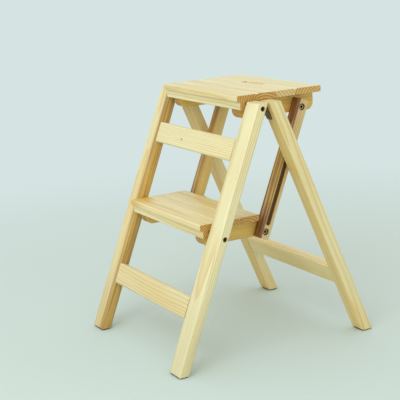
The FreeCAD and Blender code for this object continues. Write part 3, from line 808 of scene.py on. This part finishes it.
def plated(name, base, rubbed, roughness, metallic, grit, socket=None):
    """Plated metal: cloudy tone, fine pits, bright rubbed spots and painted shade inside a socket."""
    finish, tree, shader, place = new_finish(name)
    spots = cloud(tree, place.outputs["Object"], (grit, grit, grit), 4.0, 0.6)
    haze = cloud(tree, place.outputs["Object"], (grit / 6, grit / 6, grit / 6))
    worn = value_of(tree, "MULTIPLY", span(tree, spots, 0.48, 0.70), span(tree, haze, 0.35, 0.70))
    colour = blended(tree, worn, base[:], rubbed[:])
    if socket is not None:
        head, socket_shade = socket
        # painted shade darkens the socket below the head's face
        across = away(tree, axes_of(tree, place.outputs["Object"])[0])
        depth = span(tree, across, head - SOCKET_SHADE_DARK, head - SOCKET_SHADE_RIM, 1.0, 0.0)
        colour = blended(tree, depth, colour, socket_shade[:])
    dull = span(tree, spots, 0.2, 0.8, roughness + 0.12, roughness - 0.08, False)
    surfaced(tree, shader, colour, dull, relief(tree, spots, 0.25, PLATE_RELIEF))
    shader.inputs["Metallic"].default_value = metallic
    return finish


def moulded_rubber(look):
    """Matt rubber with a fine grain and dust near the floor."""
    finish, tree, shader, place = new_finish("rubber_feet")
    grain = cloud(tree, place.outputs["Object"], RUBBER_REPEATS, 3.0)
    dirt = cloud(tree, place.outputs["Object"], DUST_REPEATS, 3.0, 0.6)
    dusty = span(tree, dirt, 0.45, 0.75, 0.0, 0.8)
    colour = blended(tree, dusty, look.rubber[:], look.rubber_dust[:])
    dull = span(tree, dirt, 0.3, 0.7, 0.72, 0.92, False)
    surfaced(tree, shader, colour, dull, relief(tree, grain, 0.4, RUBBER_RELIEF))
    shader.inputs["Specular IOR Level"].default_value = 0.3
    return finish


def turned_hardwood(look):
    """Close-grained hardwood with short flecks."""
    finish, tree, shader, place = new_finish("hardwood_pins")
    fibre = cloud(tree, place.outputs["Object"], PIN_FIBRE_REPEATS, 3.0)
    fleck = cloud(tree, place.outputs["Object"], PIN_FLECK_REPEATS, 1.0)
    colour = blended(tree, span(tree, fleck, 0.58, 0.72, 0.0, 0.7), look.beech[:], look.beech_fleck[:])
    colour = blended(tree, span(tree, fibre, 0.3, 0.7, 0.0, 0.35), colour, look.beech_fleck[:])
    dull = span(tree, fibre, 0.2, 0.8, 0.38, 0.55, False)
    surfaced(tree, shader, colour, dull, relief(tree, fibre, 0.25, PIN_RELIEF))
    return finish


def outer_side(node):
    """How far a piece reaches from the stool's middle."""
    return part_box(node)[1][0]


def dress(node, finish):
    """Gives a CAD piece its finish."""
    mesh = frame["nodes"][node]
    if not mesh.material_slots:
        mesh.data.materials.append(finish)
    for slot in mesh.material_slots:
        slot.material = finish


def dress_boards(boards, look):
    """Gives each board pine of its own."""
    for name, board in boards.items():
        dress(name, pine(name, board, look))


def screw(mesh, head, dome, sink, shank, reach, spot):
    """One cross-head screw, turned about its own axis and set in its place."""
    single = bmesh.new()
    outline = [(head * across, dome * up) for across, up in DOME]
    outline += [(shank, -sink), (shank, -reach), (0.0, -reach)]
    points = [single.verts.new((across, 0.0, up)) for across, up in outline]
    for first, second in zip(points, points[1:]):
        single.edges.new((first, second))
    bmesh.ops.spin(
        single,
        geom=single.verts[:] + single.edges[:],
        cent=(0.0, 0.0, 0.0),
        axis=UP,
        angle=math.tau,
        steps=SCREW_SIDES,
        use_merge=True,
    )
    bmesh.ops.remove_doubles(single, verts=single.verts[:], dist=WELD)
    arm = head * CROSS_ARM
    slot = head * CROSS_SLOT
    for side in (-1, 1):
        for reach_out in (arm, slot):
            for normal in ((1.0, 0.0, 0.0), (0.0, 1.0, 0.0)):
                bmesh.ops.bisect_plane(
                    single,
                    geom=single.verts[:] + single.edges[:] + single.faces[:],
                    plane_co=Vector(normal) * reach_out * side,
                    plane_no=normal,
                )
    bmesh.ops.recalc_face_normals(single, faces=single.faces[:])
    recess = []
    for face in single.faces:
        middle = face.calc_center_median()
        nearer, farther = sorted((abs(middle.x), abs(middle.y)))
        if middle.z > 0 and face.normal.z > 0.3 and nearer < slot and farther < arm:
            recess.append(face)
    sunk = bmesh.ops.extrude_face_region(single, geom=recess)["geom"]
    low = [part for part in sunk if isinstance(part, bmesh.types.BMVert)]
    depth = min(sink, dome + sink * 0.5) * CROSS_DEPTH
    bmesh.ops.translate(single, verts=low, vec=(0.0, 0.0, -depth))
    bmesh.ops.delete(single, geom=[face for face in recess if face.is_valid], context="FACES_ONLY")
    bmesh.ops.recalc_face_normals(single, faces=single.faces[:])
    bmesh.ops.transform(single, matrix=spot, verts=single.verts[:])
    holder = bpy.data.meshes.new("screw")
    single.to_mesh(holder)
    single.free()
    mesh.from_mesh(holder)
    bpy.data.meshes.remove(holder)


def finished_piece(name, mesh, finish, body):
    """Makes a piece of a mesh, on its CAD body and with its finish and slot."""
    data = bpy.data.meshes.new(name)
    mesh.to_mesh(data)
    mesh.free()
    data.materials.append(finish)
    piece = bpy.data.objects.new(name, data)
    bpy.context.scene.collection.objects.link(piece)
    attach(piece, body)


def facing_along(point, outward, turn):
    """A place whose own Z points outward."""
    upright = outward.to_track_quat("Z", "Y").to_matrix().to_4x4()
    return Matrix.Translation(point) @ upright @ Matrix.Rotation(turn, 4, "Z")


def hinge_screws(name, post, outward, body, sizes, finish):
    """Two screws down the middle of each leaf, along the post that carries it."""
    mesh = bmesh.new()
    start = ANCHORS["rear_leg_fold"] - outward * sizes.pin_height
    shape = (sizes.hinge_head, sizes.hinge_dome, sizes.hinge_sink, sizes.hinge_shank, sizes.hinge_reach)
    turn = HINGE_FIRST
    for side in ("left", "right"):
        low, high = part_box("hinge_leaf_front_" + side)
        middle = Vector(((low.x + high.x) / 2, start.y, start.z))
        for drop in (sizes.low_screw, sizes.high_screw):
            screw(mesh, *shape, facing_along(middle - post * drop, outward, turn))
            turn += HINGE_NEXT
    finished_piece(name, mesh, finish, body)


def slat_screws(name, deck, pivot, slats, sizes, finish):
    """A row of screws under each cleat, one for each slat."""
    mesh = bmesh.new()
    shape = (sizes.slat_head, sizes.slat_dome, sizes.slat_sink, sizes.slat_shank, sizes.slat_reach)
    turn = SLAT_FIRST
    for side in ("left", "right"):
        low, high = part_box(f"{deck}_cleat_{side}")
        for number, slat in enumerate(slats):
            slat_low, slat_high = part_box(f"{deck}_slat_{slat}")
            along = pivot.y + sizes.first_slat if number == 0 else (slat_low.y + slat_high.y) / 2
            screw(mesh, *shape, facing_along(Vector(((low.x + high.x) / 2, along, low.z)), DOWN, turn))
            turn += SLAT_NEXT
    finished_piece(name, mesh, finish, deck)


class STOOL_OT_front_frame(bpy.types.Operator):
    """Pine for the two stiles and the two rails between them"""

    bl_idname = "stool.front_frame"
    bl_label = "Front frame boards"

    def execute(self, context):
        dress_boards(FRONT_BOARDS, context.scene.stool_pine)
        return {"FINISHED"}


class STOOL_OT_seat_boards(bpy.types.Operator):
    """Pine for the seat's slats, lip and cleats"""

    bl_idname = "stool.seat_boards"
    bl_label = "Seat boards"

    def execute(self, context):
        dress_boards(SEAT_BOARDS, context.scene.stool_pine)
        return {"FINISHED"}


class STOOL_OT_step_boards(bpy.types.Operator):
    """Pine for the step's slats, lip and cleats"""

    bl_idname = "stool.step_boards"
    bl_label = "Step boards"

    def execute(self, context):
        dress_boards(STEP_BOARDS, context.scene.stool_pine)
        return {"FINISHED"}


class STOOL_OT_links(bpy.types.Operator):
    """Pine for the two grooved links"""

    bl_idname = "stool.links"
    bl_label = "Grooved links"

    def execute(self, context):
        dress_boards(LINK_BOARDS, context.scene.stool_pine)
        return {"FINISHED"}


class STOOL_OT_rear_frame(bpy.types.Operator):
    """Pine for the two rear legs and their crossbar"""

    bl_idname = "stool.rear_frame"
    bl_label = "Rear frame boards"

    def execute(self, context):
        dress_boards(REAR_BOARDS, context.scene.stool_pine)
        return {"FINISHED"}


class STOOL_OT_guide_pins(bpy.types.Operator):
    """Hardwood for the guide pins that run in the links' grooves"""

    bl_idname = "stool.guide_pins"
    bl_label = "Guide pins"

    def execute(self, context):
        dress("guide_pins", turned_hardwood(context.scene.stool_small))
        return {"FINISHED"}


class STOOL_OT_foot_pads(bpy.types.Operator):
    """Rubber for the four foot pads"""

    bl_idname = "stool.foot_pads"
    bl_label = "Foot pads"

    def execute(self, context):
        finish = moulded_rubber(context.scene.stool_small)
        for node in ("front_foot_pads", "rear_foot_pads"):
            dress(node, finish)
        return {"FINISHED"}


class STOOL_OT_hinges(bpy.types.Operator):
    """Antique bronze for the hinges, with their screws"""

    bl_idname = "stool.hinges"
    bl_label = "Butt hinges"

    def execute(self, context):
        look = context.scene.stool_metal
        sizes = context.scene.stool_fasteners
        finish = plated(
            "bronze_hinges", look.bronze, look.bronze_rubbed, roughness=0.42, metallic=0.85, grit=900.0
        )
        for node in frame["nodes"]:
            if node.startswith("hinge_"):
                dress(node, finish)
        along_stile = Vector((0.0, math.sin(STILE_LEAN), math.cos(STILE_LEAN)))
        along_leg = Vector((0.0, -math.sin(LEG_LEAN), math.cos(LEG_LEAN)))
        from_stile = Vector((0.0, math.cos(STILE_LEAN), -math.sin(STILE_LEAN)))
        from_leg = Vector((0.0, -math.cos(LEG_LEAN), -math.sin(LEG_LEAN)))
        hinge_screws("hinge_screws_front", along_stile, from_stile, "front_frame", sizes, finish)
        hinge_screws("hinge_screws_rear", along_leg, from_leg, "rear_frame", sizes, finish)
        return {"FINISHED"}


class STOOL_OT_bolts(bpy.types.Operator):
    """Brown oxide for the socket bolts of the stiles and dull nickel for those of the links"""

    bl_idname = "stool.bolts"
    bl_label = "Socket bolts"

    def execute(self, context):
        look = context.scene.stool_metal
        oxide = plated(
            "black_bolts",
            look.oxide,
            look.oxide_rubbed,
            roughness=0.46,
            metallic=0.5,
            grit=1200.0,
            socket=(outer_side("seat_pivot_bolts"), look.socket),
        )
        nickel = plated(
            "nickel_bolts",
            look.nickel,
            look.oxide,
            roughness=0.40,
            metallic=0.8,
            grit=1200.0,
            socket=(outer_side("link_bolts_right"), look.socket),
        )
        for node in frame["nodes"]:
            if "bolts" in node:
                dress(node, nickel if node.startswith("link_") else oxide)
        return {"FINISHED"}


class STOOL_OT_washers(bpy.types.Operator):
    """Zinc for the nuts, washers and sleeves, and for the screws under the slats"""

    bl_idname = "stool.washers"
    bl_label = "Nuts, washers and slat screws"

    def execute(self, context):
        look = context.scene.stool_metal
        sizes = context.scene.stool_fasteners
        finish = plated(
            "zinc_hardware", look.zinc, look.zinc_dull, roughness=0.36, metallic=0.95, grit=1000.0
        )
        for node in frame["nodes"]:
            if "washers" in node or "nuts" in node or "spacers" in node:
                dress(node, finish)
        seat_slats = ("front", "second", "third", "rear")
        step_slats = ("front", "middle", "rear")
        slat_screws("seat_slat_screws", "seat", ANCHORS["seat_fold"], seat_slats, sizes, finish)
        slat_screws("step_slat_screws", "step", ANCHORS["step_fold"], step_slats, sizes, finish)
        return {"FINISHED"}


class STOOL_OT_stage(bpy.types.Operator):
    """Pale floor and backdrop, soft light and the camera"""

    bl_idname = "stool.stage"
    bl_label = "Floor, light and camera"

    def execute(self, context):
        look = context.scene.stool_stage
        build_floor(look)
        build_world(look)
        build_window(look)
        build_camera(look)
        context.scene.view_settings.view_transform = "Standard"
        return {"FINISHED"}


def background_rays(tree):
    """1 for rays that show the background: from the camera, off shiny metal or through glass."""
    path = add_node(tree, "ShaderNodeLightPath")
    shown = value_of(tree, "ADD", path.outputs["Is Camera Ray"], path.outputs["Is Glossy Ray"])
    return value_of(tree, "ADD", shown, path.outputs["Is Transmission Ray"], clamp=True)


def mixed_into(tree, share, first, second, output):
    """Two shaders mixed by a share, into the surface of an output."""
    mixed = add_node(tree, "ShaderNodeMixShader")
    feed(tree, mixed.inputs[0], share)
    tree.links.new(first.outputs[0], mixed.inputs[1])
    tree.links.new(second.outputs[0], mixed.inputs[2])
    tree.links.new(mixed.outputs[0], output.inputs["Surface"])


def build_floor(look):
    """A wide pale floor that fades into the background."""
    mesh = bmesh.new()
    bmesh.ops.create_grid(mesh, x_segments=1, y_segments=1, size=look.floor_size / 2)
    data = bpy.data.meshes.new("floor")
    mesh.to_mesh(data)
    mesh.free()
    finish, tree, shader, place = new_finish("pale_floor")
    soft = cloud(tree, place.outputs["Object"], FLOOR_REPEATS, 1.0)
    paler = tuple(value * 1.03 for value in look.floor)
    feed(tree, shader.inputs["Base Color"], blended(tree, soft, look.floor[:], paler))
    shader.inputs["Roughness"].default_value = 0.7
    shader.inputs["Specular IOR Level"].default_value = 0.2
    far = span(tree, arrow_of(tree, "LENGTH", place.outputs["Object"]), look.fade_start, look.fade_end)
    glow = add_node(tree, "ShaderNodeEmission")
    glow.inputs["Color"].default_value = (*look.backdrop, 1.0)
    output = next(node for node in tree.nodes if node.bl_idname == "ShaderNodeOutputMaterial")
    mixed_into(tree, value_of(tree, "MULTIPLY", far, background_rays(tree)), shader, glow, output)
    data.materials.append(finish)
    floor = bpy.data.objects.new("floor", data)
    bpy.context.scene.collection.objects.link(floor)


def build_world(look):
    """The same soft light from all sides, and a pale background for the camera and for shiny metal."""
    world = bpy.data.worlds.new("soft_room")
    bpy.context.scene.world = world
    world.use_nodes = True
    tree = world.node_tree
    tree.nodes.clear()
    output = add_node(tree, "ShaderNodeOutputWorld")
    light = add_node(tree, "ShaderNodeBackground")
    light.inputs["Color"].default_value = ROOM_COLOUR
    light.inputs["Strength"].default_value = look.room_light
    seen = add_node(tree, "ShaderNodeBackground")
    seen.inputs["Color"].default_value = (*look.backdrop, 1.0)
    mixed_into(tree, background_rays(tree), light, seen, output)


def build_window(look):
    """One large soft lamp to the front right and above."""
    lamp = bpy.data.lights.new("window", "AREA")
    lamp.shape = "SQUARE"
    lamp.size = look.window_size
    lamp.energy = look.window_light
    lamp.color = WINDOW_COLOUR
    window = bpy.data.objects.new("window", lamp)
    bpy.context.scene.collection.objects.link(window)
    towards = (WINDOW_AIM - WINDOW_SPOT).to_track_quat("-Z", "Y").to_matrix().to_4x4()
    window.matrix_world = Matrix.Translation(WINDOW_SPOT) @ towards


def build_camera(look):
    """Eye level over the stool's front right corner, turned a little about the line of sight."""
    lens = bpy.data.cameras.new("camera")
    lens.lens = look.lens
    lens.sensor_width = look.sensor
    lens.clip_end = CAMERA_REACH
    camera = bpy.data.objects.new("camera", lens)
    bpy.context.scene.collection.objects.link(camera)
    stand = Matrix.Translation(CAMERA_SPOT)
    for degrees, axis in CAMERA_TURNS:
        stand = stand @ Matrix.Rotation(math.radians(degrees), 4, axis)
    camera.matrix_world = stand
    bpy.context.scene.camera = camera


OPERATORS = (
    STOOL_OT_front_frame,
    STOOL_OT_seat_boards,
    STOOL_OT_step_boards,
    STOOL_OT_links,
    STOOL_OT_rear_frame,
    STOOL_OT_guide_pins,
    STOOL_OT_foot_pads,
    STOOL_OT_hinges,
    STOOL_OT_bolts,
    STOOL_OT_washers,
    STOOL_OT_stage,
)
SETTINGS = {
    "stool_pine": PineFinish,
    "stool_metal": MetalFinish,
    "stool_small": SmallFinish,
    "stool_fasteners": FastenerSizes,
    "stool_stage": StageLook,
}


class STOOL_PT_panel(bpy.types.Panel):
    """Lists the stool's pieces and finishes"""

    bl_label = "Folding step stool chair"
    bl_space_type = "VIEW_3D"
    bl_region_type = "UI"
    bl_category = "Stool"

    def draw(self, context):
        for operator in OPERATORS:
            self.layout.operator(operator.bl_idname)
        for name, group in SETTINGS.items():
            settings = getattr(context.scene, name)
            column = self.layout.box().column()
            for key in group.__annotations__:
                column.prop(settings, key)


def register():
    for group in SETTINGS.values():
        bpy.utils.register_class(group)
    for name, group in SETTINGS.items():
        setattr(bpy.types.Scene, name, PointerProperty(type=group))
    for operator in OPERATORS:
        bpy.utils.register_class(operator)
    bpy.utils.register_class(STOOL_PT_panel)


def unregister():
    bpy.utils.unregister_class(STOOL_PT_panel)
    for operator in reversed(OPERATORS):
        bpy.utils.unregister_class(operator)
    for name, group in SETTINGS.items():
        delattr(bpy.types.Scene, name)
        bpy.utils.unregister_class(group)


def main():
    """Makes every piece in order."""
    register()
    for operator in OPERATORS:
        family, name = operator.bl_idname.split(".")
        getattr(getattr(bpy.ops, family), name)()


if __name__ == "__main__":
    main()
